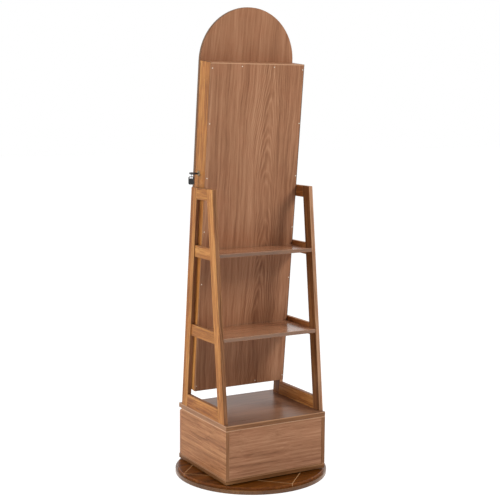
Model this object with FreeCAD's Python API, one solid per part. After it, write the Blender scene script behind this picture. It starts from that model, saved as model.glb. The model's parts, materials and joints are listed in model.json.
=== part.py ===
"""Rotating jewelry armoire.

A round base disc carries a ball-bearing turntable. On it turns a cabinet with a drawer,
two A-frames with shelves between them, and a leaning jewelry case whose arched mirror
door opens to the front. Millimetres, +Z up, +X to the right of someone who faces the
mirror, the mirror towards -Y. The origin is on the floor under the disc's centre.
"""
import FreeCAD, Part
import math
import os

V = FreeCAD.Vector

# Base, a wide plinth with a slightly smaller veneered disc on it
plinth_diameter = 500.0
plinth_thickness = 12.0
disc_diameter = 484.0
disc_thickness = 9.0
disc_pocket_diameter = 230.0
pad_diameter = 24.0
pad_thickness = 1.5
pad_count = 8
pad_rim_distance = 26.0
inlay_width = 2.0
inlay_depth = 0.8
inlay_corner_degs = (-3.0, 93.0, 177.0, 273.0)
edge_ease = 0.8
small_sides = 8
round_sides = 12
ring_sides = 24

# Turntable bearing
bearing_height = 12.0
ball_radius = 3.0
ball_count = 12
ball_circle_radius = 90.0
race_half_width = 20.0
race_gap = 2.2
race_channel_half_width = 4.0
cage_half_width = 9.0
cage_thickness = 1.0
running_clearance = 0.05
race_screw_radius = 2.0
race_screw_length = 9.0
race_screw_inset = 5.0
race_screw_count = 4

# Cabinet
cabinet_depth = 330.0
cabinet_height = 189.0
board = 15.0
side_board = 12.0
back_board = 9.0
back_recess = 1.5
drawer_front_board = 12.0
drawer_front_setback = 4.0
drawer_front_top_gap = 8.0
drawer_front_bottom_gap = 1.5
drawer_front_end_gap = 0.5
drawer_stop_gap = 1.0

# Drawer and its runners
drawer_board = 10.0
drawer_bottom = 4.0
drawer_box_height = 122.0
drawer_box_floor_gap = 10.0
drawer_box_back_gap = 12.0
runner_space = 12.6
runner_height = 36.0
runner_steel = 1.4
runner_clearance = 0.4
runner_lip_depth = 10.0

# A-frames
frame_board = 14.0
frame_height = 729.0
leg_width = 38.0
foot_front_y = -143.5
foot_back_y = 151.5
head_front_reach = 66.0
head_back_y = 71.0
head_rail_height = 37.0
mid_rail_height = 38.0
foot_rail_height = 42.0
upper_rail_top_z = 758.5
lower_rail_top_z = 496.5
mid_rail_recess = 3.0
frame_dowel_radius = 4.0
frame_dowel_embed = 20.0
frame_dowel_inset = 60.0

# Shelves between the A-frames
shelf_board = 12.0
shelf_drop = 14.5
shelf_case_gap = 4.0
shelf_dowel_radius = 3.0
shelf_dowel_length = 18.0
shelf_dowel_inset = 24.0

# Leaning case
case_width = 340.0
case_height = 1070.0
case_depth = 72.0
case_lean_deg = 6.1
case_foot_y = -77.0
case_foot_z = 270.0
case_board = 12.0
case_back = 4.0
case_bolt_radius = 3.0
case_bolt_head_radius = 6.0
case_bolt_head_height = 3.0
case_bolt_embed = 9.0
head_bolt_drop = 18.5
head_bolt_insets = (50.0, 17.0)
leg_bolt_z = 360.0

# Inside the case, heights above the case's foot
lining = 2.0
inner_shelf_board = 8.0
inner_shelf_setback = 8.0
inner_shelf_count = 4
inner_shelf_pitch = 140.0
lock_shelf_gap = 107.0
guard_rail_radius = 2.0
guard_rail_height = 24.0
guard_rail_setback = 6.0
guard_rail_embed = 5.0
ring_roll_count = 5
ring_roll_radius = 11.0
ring_roll_gap = 1.6
ring_roll_crown = 2.0
ring_roll_end_gap = 1.5
ring_roll_flat = 0.3
hook_rail_height = 26.0
hook_rail_board = 10.0
hook_rail_top_gap = 34.0
hook_count = 8
hook_wire = 1.5
hook_reach = 16.0
hook_rise = 9.0
hook_zone_width = 196.0
earring_board = 3.0
earring_board_width = 96.0
earring_floor_share = 0.203
earring_standoff = 12.0
earring_batten = 8.0
earring_slot_height = 3.0
earring_slot_count = 10
earring_slot_margin = 14.0

# Mirror door
door_board = 11.0
door_gap = 2.0
mirror_glass = 4.0
mirror_inset = 1.0
mirror_bevel = 1.2

# Door hinges
hinge_end_inset = 110.0
hinge_length = 64.0
hinge_leaf = 0.85
hinge_leaf_width = 11.0
hinge_barrel_radius = 2.6
hinge_pin_radius = 1.3
hinge_barrel_gap = 0.6
hinge_barrel_count = 3
hinge_offset = 3.2

# Strike on the door, which the lock's cam turns in front of
strike_steel = 2.0
strike_height = 10.0
strike_foot = 16.0
strike_lip = 8.0
strike_gap = 0.5
strike_arm_gap = 2.2
cam_tail = 7.0

# Lock and keys
lock_frame_gap = 39.44
lock_depth = 46.5
lock_barrel_radius = 8.0
lock_flange_radius = 9.5
lock_flange_height = 2.6
lock_barrel_length = 20.0
lock_nut_radius = 11.5
lock_nut_height = 3.0
lock_plug_radius = 5.0
cam_length = 24.0
cam_width = 11.0
cam_steel = 2.0
cam_gap = 0.4
key_blade_width = 7.0
key_blade_steel = 2.0
key_blade_inside = 16.0
key_neck = 3.0
key_bow_length = 26.0
key_bow_width = 18.0
key_bow_thickness = 4.4
key_bow_corner = 5.0
key_slot_length = 10.4
key_slot_width = 4.6
key_slot_inset = 2.4
key_ring_radius = 9.0
key_ring_wire = 0.6
key_ring_turn_deg = 60.0
key_ring_seat = 0.9
spare_blade_length = 20.0

# Heights and widths worked out from the sizes above
plinth_radius = plinth_diameter / 2
plinth_top_z = pad_thickness + plinth_thickness
disc_radius = disc_diameter / 2
disc_top_z = plinth_top_z + disc_thickness
cabinet_floor_z = plinth_top_z + bearing_height
cabinet_top_z = cabinet_floor_z + cabinet_height
frame_inner_x = case_width / 2
frame_outer_x = frame_inner_x + frame_board
cabinet_front_y = -cabinet_depth / 2
cabinet_back_y = cabinet_depth / 2
side_inner_x = frame_outer_x - side_board
drawer_front_y = cabinet_front_y + drawer_front_setback
drawer_front_back_y = drawer_front_y + drawer_front_board
side_front_y = drawer_front_back_y + drawer_stop_gap
back_panel_y = cabinet_back_y - back_recess
frame_top_z = cabinet_top_z + frame_height
door_width = case_width
hinge_x = -(door_width / 2 + hinge_offset)
hinge_axis_depth = case_depth + door_gap / 2
case_lean = math.radians(case_lean_deg)
key_ring_turn = math.radians(key_ring_turn_deg)
case_back_at_head_y = case_foot_y + (frame_top_z - case_foot_z) * math.tan(case_lean)
head_front_y = case_back_at_head_y - head_front_reach
hinge_heights = (hinge_end_inset, case_height / 2, case_height - hinge_end_inset)
lock_height = (frame_top_z + lock_frame_gap - case_foot_z) / math.cos(case_lean)
top_inner_shelf = lock_height - lock_shelf_gap
inner_shelf_tops = [top_inner_shelf - i * inner_shelf_pitch
                    for i in reversed(range(inner_shelf_count))]


def box(x0, x1, y0, y1, z0, z1):
    """Plain block between two corners."""
    return Part.makeBox(x1 - x0, y1 - y0, z1 - z0, V(x0, y0, z0))


def panel(x0, x1, y0, y1, z0, z1, ease=edge_ease):
    """Board between two corners with its edges eased by a small chamfer."""
    block = box(x0, x1, y0, y1, z0, z1)
    return block.makeChamfer(ease, block.Edges)


def prism(points, direction, ease=0.0):
    """Solid pushed from a closed outline, with its edges eased if asked."""
    outline = Part.makePolygon(list(points) + [points[0]])
    solid = Part.Face(outline).extrude(direction)
    if ease:
        solid = solid.makeChamfer(ease, solid.Edges)
    return solid


def rod(radius, start, direction, length):
    """Round bar from a point along a direction."""
    return Part.makeCylinder(radius, length, start, direction)


def regular_polygon(radius, sides):
    """Corners of a regular polygon about the origin, level, with a corner on +X."""
    step = 2 * math.pi / sides
    return [V(radius * math.cos(i * step), radius * math.sin(i * step), 0)
            for i in range(sides)]


def peg(radius, start, direction, length, sides=small_sides):
    """Bar with flat sides, for the pieces that repeat and don't show."""
    bar = prism(regular_polygon(radius, sides), V(0, 0, length))
    bar.Placement = FreeCAD.Placement(start, FreeCAD.Rotation(V(0, 0, 1), direction))
    return bar


def flat_bore_radius(radius, sides=round_sides):
    """Size of a flat-sided hole that a round bar of some radius just turns in."""
    return radius / math.cos(math.pi / sides)


def revolve_ring(points):
    """Ring revolved about the Z axis from an outline given as radius and height."""
    outline = Part.makePolygon([V(r, 0, z) for r, z in list(points) + [points[0]]])
    return Part.Face(outline).revolve(V(0, 0, 0), V(0, 0, 1), 360)


def mirrored_x(shape):
    """The same shape on the other side of the centre plane."""
    return shape.mirror(V(0, 0, 0), V(1, 0, 0))


def group(solids):
    """Separate solids kept together in one node."""
    return Part.makeCompound(solids)


def cut_all(shape, tools):
    """Shape with every tool taken out of it."""
    return shape.cut(tools) if tools else shape


def around(count, radius, z, start_deg=0.0):
    """Points spread evenly on a circle about the Z axis."""
    step = 2 * math.pi / count
    start = math.radians(start_deg)
    return [V(radius * math.cos(start + i * step), radius * math.sin(start + i * step), z)
            for i in range(count)]


def lean(shape):
    """Shape drawn in the upright case frame, set down at the case's foot and leant back.

    In the case frame X is the same, Y = 0 is the case's back, the front is towards -Y
    and Z = 0 is the case's foot.
    """
    placed = shape.copy()
    turn = FreeCAD.Rotation(V(1, 0, 0), -case_lean_deg)
    place = FreeCAD.Placement(V(0, case_foot_y, case_foot_z), turn)
    placed.Placement = place.multiply(placed.Placement)
    return placed


def case_back_y(z):
    """Where the leaning case's back is at a height above the floor."""
    return case_foot_y + (z - case_foot_z) * math.tan(case_lean)


# Turntable

def eased_disc(radius, thickness, z0):
    """Round board with its upper rim eased by a small chamfer."""
    blank = Part.makeCylinder(radius, thickness, V(0, 0, z0))
    rim = [e for e in blank.Edges if e.BoundBox.ZMin > z0 + thickness / 2]
    return blank.makeChamfer(edge_ease, rim)


def plinth():
    return cut_all(eased_disc(plinth_radius, plinth_thickness, pad_thickness),
                   lower_screw_pegs())


def veneered_disc_blank():
    """The disc before its inlay is let in, with a pocket round the bearing."""
    pocket = peg(disc_pocket_diameter / 2, V(0, 0, plinth_top_z), V(0, 0, 1), disc_thickness,
                 ring_sides)
    return eased_disc(disc_radius, disc_thickness, plinth_top_z).cut(pocket)


def inlay_grooves():
    """Square of strips with its corners at the rim, where each turns down the disc's side."""
    grooves = []
    reach = disc_radius - inlay_width / 2
    for i, first in enumerate(inlay_corner_degs):
        second = inlay_corner_degs[(i + 1) % len(inlay_corner_degs)]
        half_turn = math.radians((second - first) % 360) / 2
        half = reach * math.sin(half_turn) + inlay_width / 2
        offset = reach * math.cos(half_turn)
        strip = box(-half, half, -offset - inlay_width / 2, -offset + inlay_width / 2,
                    disc_top_z - inlay_depth, disc_top_z)
        strip.rotate(V(0, 0, 0), V(0, 0, 1), first + math.degrees(half_turn) + 90)
        stub = box(disc_radius - inlay_depth - inlay_width / 2, disc_radius, -inlay_width / 2,
                   inlay_width / 2, plinth_top_z, disc_top_z)
        stub.rotate(V(0, 0, 0), V(0, 0, 1), first)
        grooves += [strip, stub]
    return grooves[0].multiFuse(grooves[1:])


def veneered_disc():
    return veneered_disc_blank().cut(inlay_grooves())


def disc_inlay():
    return veneered_disc_blank().common(inlay_grooves()).removeSplitter()


def floor_pads():
    radius = plinth_radius - pad_rim_distance
    return group([peg(pad_diameter / 2, p, V(0, 0, 1), pad_thickness)
                  for p in around(pad_count, radius, 0)])


def flat_ring(inner, outer, z0, z1):
    """Ring about the Z axis with many flat sides, for the bearing, which doesn't show."""
    hole, rim = [peg(radius, V(0, 0, z0), V(0, 0, 1), z1 - z0, ring_sides)
                 for radius in (inner, outer)]
    return rim.cut(hole)


def race(z_flat, z_channel):
    """Flat steel ring from its seat to the side whose channel carries the balls."""
    way = 1 if z_channel > z_flat else -1
    floor_z = z_channel - way * (ball_radius + running_clearance - race_gap / 2)
    ring = flat_ring(ball_circle_radius - race_half_width, ball_circle_radius + race_half_width,
                     min(z_flat, z_channel), max(z_flat, z_channel))
    channel_ring = flat_ring(ball_circle_radius - race_channel_half_width,
                             ball_circle_radius + race_channel_half_width,
                             min(floor_z, z_channel), max(floor_z, z_channel))
    return ring.cut(channel_ring)


def ball_plane_z():
    return plinth_top_z + bearing_height / 2


def lower_screw_pegs():
    radius = ball_circle_radius - race_half_width + race_screw_inset
    points = around(race_screw_count, radius, ball_plane_z() - race_gap / 2, 45)
    return [peg(race_screw_radius, p, V(0, 0, -1), race_screw_length) for p in points]


def upper_screw_pegs():
    radius = ball_circle_radius + race_half_width - race_screw_inset
    points = around(race_screw_count, radius, ball_plane_z() + race_gap / 2, 45)
    return [peg(race_screw_radius, p, V(0, 0, 1), race_screw_length) for p in points]


def bearing_lower_race():
    return cut_all(race(plinth_top_z, ball_plane_z() - race_gap / 2), lower_screw_pegs())


def bearing_upper_race():
    return cut_all(race(cabinet_floor_z, ball_plane_z() + race_gap / 2), upper_screw_pegs())


def lower_race_screws():
    return group(lower_screw_pegs())


def upper_race_screws():
    return group(upper_screw_pegs())


def ball_centres():
    return around(ball_count, ball_circle_radius, ball_plane_z())


def bearing_ball(centre):
    """Ball with flat faces, which is what three bars along the axes have in common."""
    bars = [peg(ball_radius, centre - way * ball_radius, way, 2 * ball_radius)
            for way in (V(1, 0, 0), V(0, 1, 0), V(0, 0, 1))]
    return bars[0].common(bars[1]).common(bars[2])


def bearing_balls():
    return group([bearing_ball(p) for p in ball_centres()])


def bearing_cage():
    ring = flat_ring(ball_circle_radius - cage_half_width, ball_circle_radius + cage_half_width,
                     ball_plane_z() - cage_thickness / 2, ball_plane_z() + cage_thickness / 2)
    holes = [peg(ball_radius + running_clearance, p - V(0, 0, cage_thickness), V(0, 0, 1),
                 2 * cage_thickness) for p in ball_centres()]
    return cut_all(ring, holes)


# Cabinet

def frame_dowel_points():
    x = frame_outer_x - side_board / 2
    z = cabinet_top_z - board - frame_dowel_embed
    return [V(side * x, y, z) for side in (-1, 1)
            for y in (foot_front_y + frame_dowel_inset, foot_back_y - frame_dowel_inset)]


def frame_dowel_holes():
    length = 2 * frame_dowel_embed + board
    return [peg(frame_dowel_radius, p, V(0, 0, 1), length) for p in frame_dowel_points()]


def frame_dowels():
    return group(frame_dowel_holes())


def cabinet_bottom():
    plate = panel(-frame_outer_x, frame_outer_x, cabinet_front_y, cabinet_back_y,
                  cabinet_floor_z, cabinet_floor_z + board)
    return cut_all(plate, upper_screw_pegs())


def cabinet_top():
    plate = panel(-frame_outer_x, frame_outer_x, cabinet_front_y, cabinet_back_y,
                  cabinet_top_z - board, cabinet_top_z)
    return cut_all(plate, frame_dowel_holes())


def cabinet_side_right():
    side = panel(side_inner_x, frame_outer_x, side_front_y, cabinet_back_y,
                 cabinet_floor_z + board, cabinet_top_z - board)
    return cut_all(side, frame_dowel_holes())


def cabinet_back():
    return panel(-side_inner_x, side_inner_x, back_panel_y - back_board, back_panel_y,
                 cabinet_floor_z + board, cabinet_top_z - board)


# Drawer, its box and its runners

drawer_half_width = side_inner_x - runner_space
drawer_z0 = cabinet_floor_z + board + drawer_box_floor_gap
drawer_z1 = drawer_z0 + drawer_box_height
drawer_back_y = back_panel_y - back_board - drawer_box_back_gap
runner_z = (drawer_z0 + drawer_z1) / 2
runner_front_y = drawer_front_back_y + drawer_stop_gap
runner_back_y = drawer_back_y


def channel(web_x, lip_x, half_height, wall, y0, y1):
    """C-section along Y with its web at one X and its lips reaching to another."""
    inward = 1 if lip_x > web_x else -1
    outline = [V(web_x, y0, runner_z - half_height), V(lip_x, y0, runner_z - half_height),
               V(lip_x, y0, runner_z - half_height + wall),
               V(web_x + inward * wall, y0, runner_z - half_height + wall),
               V(web_x + inward * wall, y0, runner_z + half_height - wall),
               V(lip_x, y0, runner_z + half_height - wall),
               V(lip_x, y0, runner_z + half_height), V(web_x, y0, runner_z + half_height)]
    return prism(outline, V(0, y1 - y0, 0))


def cabinet_runner_right():
    return channel(side_inner_x, side_inner_x - runner_lip_depth, runner_height / 2,
                   runner_steel, runner_front_y, runner_back_y)


def drawer_runner_right():
    half = runner_height / 2 - runner_steel - runner_clearance
    reach = side_inner_x - runner_steel - runner_clearance
    return channel(drawer_half_width, reach, half, runner_steel, runner_front_y, runner_back_y)


def drawer_front():
    end = frame_outer_x - drawer_front_end_gap
    return panel(-end, end, drawer_front_y, drawer_front_back_y,
                 cabinet_floor_z + board + drawer_front_bottom_gap,
                 cabinet_top_z - board - drawer_front_top_gap)


def drawer_side_right():
    return panel(drawer_half_width - drawer_board, drawer_half_width, drawer_front_back_y,
                 drawer_back_y, drawer_z0 + drawer_bottom, drawer_z1)


def drawer_back():
    inner = drawer_half_width - drawer_board
    return panel(-inner, inner, drawer_back_y - drawer_board, drawer_back_y,
                 drawer_z0 + drawer_bottom, drawer_z1)


def drawer_bottom_panel():
    return panel(-drawer_half_width, drawer_half_width, drawer_front_back_y, drawer_back_y,
                 drawer_z0, drawer_z0 + drawer_bottom)


# A-frames

def front_edge_y(z):
    """Outer edge of a front leg at a height."""
    share = (z - cabinet_top_z) / frame_height
    return foot_front_y + share * (head_front_y - foot_front_y)


def back_edge_y(z):
    """Outer edge of a back leg at a height."""
    share = (z - cabinet_top_z) / frame_height
    return foot_back_y + share * (head_back_y - foot_back_y)


def frame_piece(corners, x0, x1):
    """Board cut to an outline in the plane of the A-frame, given as Y and Z."""
    outline = [V(x0, y, z) for y, z in corners]
    return prism(outline, V(x1 - x0, 0, 0), edge_ease)


def front_leg_right():
    z0, z1 = cabinet_top_z, frame_top_z
    leg = frame_piece([(front_edge_y(z0), z0), (front_edge_y(z0) + leg_width, z0),
                       (front_edge_y(z1) + leg_width, z1), (front_edge_y(z1), z1)],
                      frame_inner_x, frame_outer_x)
    return cut_all(leg, frame_dowel_holes() + case_bolt_holes())


def back_leg_right():
    z0, z1 = cabinet_top_z, frame_top_z
    leg = frame_piece([(back_edge_y(z0) - leg_width, z0), (back_edge_y(z0), z0),
                       (back_edge_y(z1), z1), (back_edge_y(z1) - leg_width, z1)],
                      frame_inner_x, frame_outer_x)
    return cut_all(leg, frame_dowel_holes() + shelf_dowel_holes())


def rail(z0, z1, outer_x):
    """Rail between the two legs of an A-frame, its ends cut to their slopes."""
    corners = [(front_edge_y(z0) + leg_width, z0), (back_edge_y(z0) - leg_width, z0),
               (back_edge_y(z1) - leg_width, z1), (front_edge_y(z1) + leg_width, z1)]
    piece = frame_piece(corners, frame_inner_x, outer_x)
    return cut_all(piece, frame_dowel_holes() + case_bolt_holes() + shelf_dowel_holes())


def head_rail_right():
    return rail(frame_top_z - head_rail_height, frame_top_z, frame_outer_x)


def foot_rail_right():
    return rail(cabinet_top_z, cabinet_top_z + foot_rail_height, frame_outer_x)


def upper_rail_right():
    return rail(upper_rail_top_z - mid_rail_height, upper_rail_top_z,
                frame_outer_x - mid_rail_recess)


def lower_rail_right():
    return rail(lower_rail_top_z - mid_rail_height, lower_rail_top_z,
                frame_outer_x - mid_rail_recess)


# Shelves

def shelf_span(rail_top_z):
    """Front and back edge of a shelf and the height of its top."""
    top = rail_top_z - shelf_drop
    return case_back_y(top) + shelf_case_gap, back_edge_y(top - shelf_board / 2), top


def shelf_dowel_points():
    points = []
    for rail_top_z in (upper_rail_top_z, lower_rail_top_z):
        front, back, top = shelf_span(rail_top_z)
        middle = top - shelf_board / 2
        points += [V(0, y, middle) for y in (front + shelf_dowel_inset,
                                             back_edge_y(middle) - leg_width / 2)]
    return points


def shelf_dowel_holes():
    holes = []
    for side in (-1, 1):
        for p in shelf_dowel_points():
            start = V(side * frame_inner_x - shelf_dowel_length / 2, p.y, p.z)
            holes.append(peg(shelf_dowel_radius, start, V(1, 0, 0), shelf_dowel_length))
    return holes


def shelf_dowels():
    return group(shelf_dowel_holes())


def shelf(rail_top_z):
    front, back, top = shelf_span(rail_top_z)
    plate = panel(-frame_inner_x, frame_inner_x, front, back, top - shelf_board, top)
    return cut_all(plate, shelf_dowel_holes())


# Leaning case

def case_bolt_points():
    """Where the case is bolted to the A-frames, as Y and Z."""
    head = [(head_front_y + inset, frame_top_z - head_bolt_drop) for inset in head_bolt_insets]
    return head + [(front_edge_y(leg_bolt_z) + leg_width / 2, leg_bolt_z)]


def case_bolt_holes():
    length = case_board + case_bolt_embed
    holes = []
    for side in (-1, 1):
        for y, z in case_bolt_points():
            start = V(side * (frame_inner_x - case_board), y, z)
            holes.append(peg(case_bolt_radius, start, V(side, 0, 0), length))
    return holes


def case_bolts():
    bolts = []
    for side in (-1, 1):
        for (y, z), hole in zip(case_bolt_points(), case_bolt_holes()[(side + 1) // 2 * 3:]):
            start = V(side * (frame_inner_x - case_board), y, z)
            head = peg(case_bolt_head_radius, start, V(-side, 0, 0), case_bolt_head_height)
            bolts.append(head.fuse(hole).removeSplitter())
    return group(bolts)


def case_side_right():
    side = panel(case_width / 2 - case_board, case_width / 2, -case_depth, -case_back,
                 0, case_height)
    side = side.cut(guard_rail_bars()
                    + [rod(lock_barrel_radius, lock_point(0), V(1, 0, 0), case_width)])
    return cut_all(lean(side), case_bolt_holes())


def case_side_left():
    side = panel(-case_width / 2, -(case_width / 2 - case_board), -case_depth, -case_back,
                 0, case_height)
    return cut_all(lean(side.cut(guard_rail_bars())), case_bolt_holes())


inner_x = case_width / 2 - case_board
inner_back_y = -(case_back + lining)
inner_front_y = -(case_depth - inner_shelf_setback)


def case_top():
    return lean(panel(-inner_x, inner_x, -case_depth, -case_back,
                      case_height - case_board, case_height))


def case_bottom():
    return lean(panel(-inner_x, inner_x, -case_depth, -case_back, 0, case_board))


def case_back_panel():
    return lean(panel(-case_width / 2, case_width / 2, -case_back, 0, 0, case_height))


def case_lining():
    return lean(box(-inner_x, inner_x, inner_back_y, -case_back, case_board,
                    case_height - case_board))


def inner_shelves():
    return lean(group([panel(-inner_x, inner_x, inner_front_y, inner_back_y,
                             top - inner_shelf_board, top) for top in inner_shelf_tops]))


def guard_rail_bars():
    """Bars across the front of the shelves that hold bottles and pouches."""
    reach = inner_x + guard_rail_embed
    y = -(case_depth - guard_rail_setback)
    return [peg(guard_rail_radius, V(-reach, y, z + guard_rail_height), V(1, 0, 0), 2 * reach)
            for z in [case_board] + inner_shelf_tops[:2]]


def guard_rails():
    return lean(group(guard_rail_bars()))


def ring_roll(centre_y, centre_z):
    """Padded roll across the case, eased at its ends and flat against the lining."""
    half = inner_x - ring_roll_end_gap
    roll = peg(ring_roll_radius, V(-half, centre_y, centre_z), V(1, 0, 0), 2 * half,
               round_sides)
    ends = [e for e in roll.Edges if e.BoundBox.XLength < 1e-3]
    roll = roll.makeChamfer(ring_roll_crown, ends)
    behind = box(-inner_x, inner_x, inner_back_y, 0, centre_z - ring_roll_radius,
                 centre_z + ring_roll_radius)
    return roll.cut(behind)


def ring_rolls():
    """Rolls one above another on the third shelf, with room for rings between them."""
    pitch = 2 * ring_roll_radius + ring_roll_gap
    y = inner_back_y + ring_roll_flat - ring_roll_radius
    first = inner_shelf_tops[2] + ring_roll_gap / 4 + ring_roll_radius
    return lean(group([ring_roll(y, first + i * pitch) for i in range(ring_roll_count)]))


hook_rail_top = case_height - case_board - hook_rail_top_gap
hook_zone_x0 = -inner_x


def hook_rail():
    return lean(panel(hook_zone_x0, hook_zone_x0 + hook_zone_width,
                      inner_back_y - hook_rail_board, inner_back_y,
                      hook_rail_top - hook_rail_height, hook_rail_top))


def necklace_hook(x):
    """Square wire hook that reaches out of the rail and turns up at its end."""
    y0 = inner_back_y - hook_rail_board
    z0 = hook_rail_top - hook_rail_height / 2
    y1 = y0 - hook_reach
    outline = [V(x, y0, z0 - hook_wire), V(x, y1, z0 - hook_wire),
               V(x, y1 - hook_wire, z0), V(x, y1 - hook_wire, z0 + hook_rise),
               V(x, y1 + hook_wire, z0 + hook_rise), V(x, y1 + hook_wire, z0 + hook_wire),
               V(x, y0, z0 + hook_wire)]
    return prism([p - V(hook_wire, 0, 0) for p in outline], V(2 * hook_wire, 0, 0))


def necklace_hooks():
    pitch = hook_zone_width / hook_count
    return lean(group([necklace_hook(hook_zone_x0 + pitch * (i + 0.5))
                       for i in range(hook_count)]))


earring_x1 = inner_x - ring_roll_end_gap
earring_x0 = earring_x1 - earring_board_width
earring_top = hook_rail_top
earring_z0 = top_inner_shelf + earring_floor_share * (earring_top - top_inner_shelf)
earring_back_y = inner_back_y - earring_standoff


def earring_panel():
    """Thin board with a ladder of slots that earrings hang in, on two uprights."""
    plate = box(earring_x0, earring_x1, earring_back_y - earring_board, earring_back_y,
                earring_z0, earring_top)
    pitch = (earring_top - earring_z0) / earring_slot_count
    slots = []
    for i in range(earring_slot_count):
        z = earring_top - pitch * (i + 0.5)
        slots.append(box(earring_x0 + earring_slot_margin, earring_x1 - earring_slot_margin,
                         earring_back_y - 2 * earring_board, earring_back_y + earring_board,
                         z - earring_slot_height / 2, z + earring_slot_height / 2))
    uprights = [box(x, x + earring_batten, earring_back_y, inner_back_y, earring_z0,
                    earring_top)
                for x in (earring_x0, earring_x1 - earring_batten)]
    return lean(plate.cut(slots).multiFuse(uprights).removeSplitter())


# Mirror door

def arch(half_width, y0, y1, bottom):
    """Upright slab with straight sides and a half-round head, springing at the case's top."""
    top = case_height
    curve = Part.Arc(V(half_width, y0, top), V(0, y0, top + half_width),
                     V(-half_width, y0, top))
    wire = Part.Wire([Part.makeLine(V(-half_width, y0, bottom), V(half_width, y0, bottom)),
                      Part.makeLine(V(half_width, y0, bottom), V(half_width, y0, top)),
                      curve.toShape(),
                      Part.makeLine(V(-half_width, y0, top), V(-half_width, y0, bottom))])
    return Part.Face(wire).extrude(V(0, y1 - y0, 0))


door_back_y = -(case_depth + door_gap)
door_front_y = door_back_y - door_board
mirror_front_y = door_front_y - mirror_glass


def door_panel():
    slab = arch(door_width / 2, door_back_y, door_front_y, 0)
    return lean(slab.makeChamfer(edge_ease, slab.Edges))


def mirror():
    """Glass bonded to the front of the door, with a ground bevel round its face."""
    half = door_width / 2 - mirror_inset
    slab = arch(half, door_front_y, mirror_front_y, mirror_inset)
    face_edges = [e for e in slab.Edges
                  if all(abs(v.Point.y - mirror_front_y) < 1e-6 for v in e.Vertexes)]
    return lean(slab.makeChamfer(mirror_bevel, face_edges))


# Door hinges

def hinge_barrels(height):
    """Barrel lengths of one hinge from its foot up, as start height and length."""
    pitch = (hinge_length + hinge_barrel_gap) / hinge_barrel_count
    start = height - hinge_length / 2
    return [(start + i * pitch, pitch - hinge_barrel_gap) for i in range(hinge_barrel_count)]


def hinge_half(height, first, leaf_y0, leaf_y1):
    """One leaf with every other barrel, round the pin."""
    axis_y = -hinge_axis_depth
    leaf_end = hinge_x + hinge_pin_radius + running_clearance
    z0 = height - hinge_length / 2
    leaf = box(leaf_end, -door_width / 2 + hinge_leaf_width, leaf_y0, leaf_y1,
               z0, z0 + hinge_length)
    barrels = hinge_barrels(height)
    others = [box(hinge_x - 2 * hinge_offset, hinge_x + hinge_offset,
                  axis_y - 2 * hinge_offset, axis_y + 2 * hinge_offset,
                  z - hinge_barrel_gap, z + length + hinge_barrel_gap)
              for z, length in barrels[1 - first::2]]
    tubes = [peg(hinge_barrel_radius, V(hinge_x, axis_y, z), V(0, 0, 1), length, round_sides)
             for z, length in barrels[first::2]]
    bore = peg(flat_bore_radius(hinge_pin_radius + running_clearance),
               V(hinge_x, axis_y, z0 - hinge_length), V(0, 0, 1), 3 * hinge_length, round_sides)
    return leaf.cut(others).multiFuse(tubes).cut(bore).removeSplitter()


def hinge_case_leaves():
    y1 = -case_depth
    return lean(group([hinge_half(h, 0, y1 - hinge_leaf, y1) for h in hinge_heights]))


def hinge_door_leaves():
    y0 = door_back_y
    return lean(group([hinge_half(h, 1, y0, y0 + hinge_leaf) for h in hinge_heights]))


def hinge_pins():
    return lean(group([rod(hinge_pin_radius, V(hinge_x, -hinge_axis_depth, h - hinge_length / 2),
                           V(0, 0, 1), hinge_length) for h in hinge_heights]))


# Strike

def cam_plane_x():
    """Outer face of the cam, just inside the end of the lock's barrel."""
    return case_width / 2 + lock_flange_height - lock_barrel_length - cam_gap


def door_strike():
    """Steel bracket on the door's back, with a lip that stands behind the turned-down cam."""
    arm_x = cam_plane_x() - cam_steel - strike_arm_gap
    lip_front_y = -lock_depth + cam_width / 2 + strike_gap
    lip_back_y = lip_front_y + strike_steel
    z1 = lock_height - cam_width / 2 - cam_tail
    z0 = z1 - strike_height
    foot = box(arm_x - strike_foot, arm_x, door_back_y, door_back_y + strike_steel, z0, z1)
    arm = box(arm_x - strike_steel, arm_x, door_back_y, lip_back_y, z0, z1)
    lip = box(arm_x - strike_steel, arm_x + strike_lip, lip_front_y, lip_back_y, z0, z1)
    return lean(foot.multiFuse([arm, lip]).removeSplitter())


# Lock and keys

def lock_point(x):
    return V(x, -lock_depth, lock_height)


def lock_barrel():
    """Cam lock housing with a round flange on the case's side."""
    outer = case_width / 2 + lock_flange_height
    body = rod(lock_barrel_radius, lock_point(outer - lock_barrel_length), V(1, 0, 0),
               lock_barrel_length)
    flange = Part.makeCone(lock_flange_radius, lock_barrel_radius, lock_flange_height,
                           lock_point(case_width / 2), V(1, 0, 0))
    bore = peg(flat_bore_radius(lock_plug_radius + running_clearance), lock_point(0),
               V(1, 0, 0), case_width, round_sides)
    return lean(body.fuse(flange).cut(bore).removeSplitter())


def lock_nut():
    """Hexagon nut that holds the lock against the inside of the case."""
    start = lock_point(case_width / 2 - case_board)
    nut = peg(lock_nut_radius, start, V(-1, 0, 0), lock_nut_height, 6)
    bore = peg(flat_bore_radius(lock_barrel_radius), lock_point(0), V(1, 0, 0), case_width,
               round_sides)
    return lean(nut.cut(bore))


def key_blade_solid(x0, x1):
    return box(x0, x1, -lock_depth - key_blade_width / 2, -lock_depth + key_blade_width / 2,
               lock_height - key_blade_steel / 2, lock_height + key_blade_steel / 2)


def lock_face_x():
    return case_width / 2 + lock_flange_height


def lock_plug():
    plug = rod(lock_plug_radius, lock_point(cam_plane_x()), V(1, 0, 0),
               lock_face_x() - cam_plane_x())
    return lean(plug.cut(key_blade_solid(lock_face_x() - key_blade_inside, case_width)))


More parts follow.
